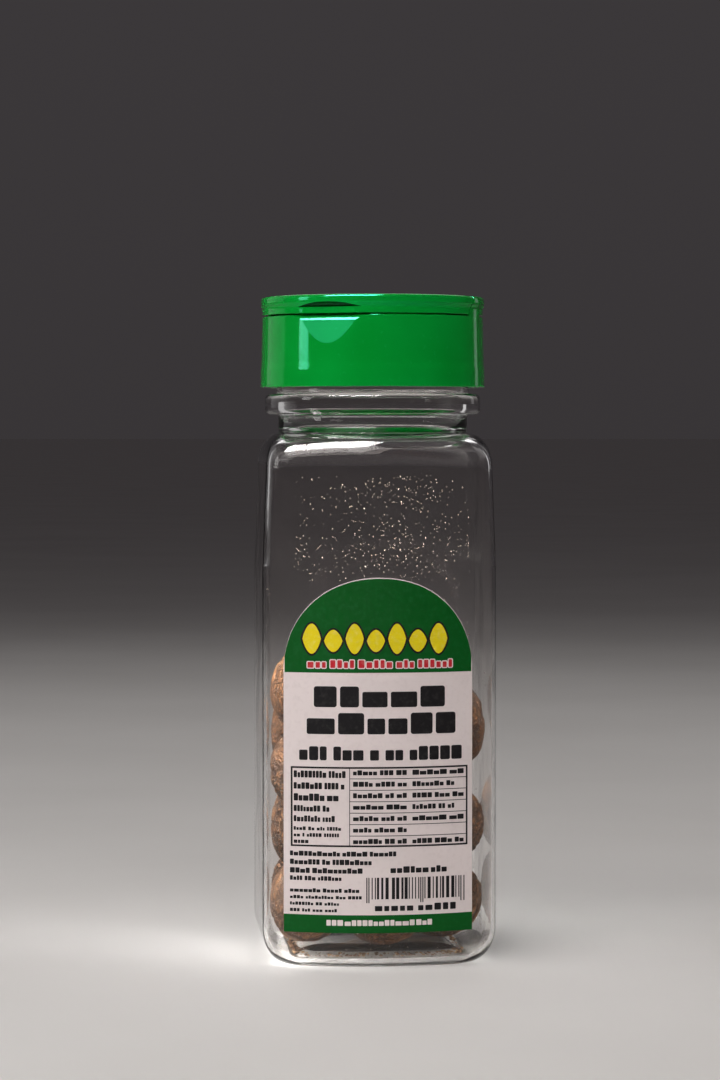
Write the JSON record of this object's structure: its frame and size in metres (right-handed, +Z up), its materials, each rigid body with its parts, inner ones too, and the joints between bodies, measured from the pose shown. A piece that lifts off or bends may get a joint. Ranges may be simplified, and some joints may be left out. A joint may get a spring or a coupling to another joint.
{
  "type": "jar of whole nutmegs",
  "caption": "Clear square plastic jar of whole nutmegs, with an arched paper label on its bowed front and a green screw-on cap with two flip-up doors.",
  "frame": {"origin": "on the surface that the jar stands on, under the middle of the jar", "axes": "+Z up along the jar; the label faces -Y; +X is to the right as the label is seen"},
  "size_m": [0.058, 0.0598, 0.1654],
  "materials": {
    "clear_plastic": "clear, glossy, thin-walled plastic",
    "label_paper": "printed, satin coated paper",
    "nutmeg_shell": "dry, furrowed and dusty",
    "green_plastic": "moulded, glossy"
  },
  "bodies": {
    "pack": {"jar": "clear_plastic", "label": "label_paper", "nutmegs": "nutmeg_shell", "cap": "green_plastic"},
    "front_door": {"front_door": "green_plastic"},
    "rear_door": {"rear_door": "green_plastic"}
  },
  "joints": [
    {"name": "front_door_hinge", "type": "hinge", "parent": "pack", "child": "front_door", "pos_m": [-0.00058, -0.00105, 0.1654], "axis": [-0.8746, 0.4848, 0], "range_deg": [0, 90]},
    {"name": "rear_door_hinge", "type": "hinge", "parent": "pack", "child": "rear_door", "pos_m": [0.00058, 0.00105, 0.1654], "axis": [0.8746, -0.4848, 0], "range_deg": [0, 90]}
  ]
}
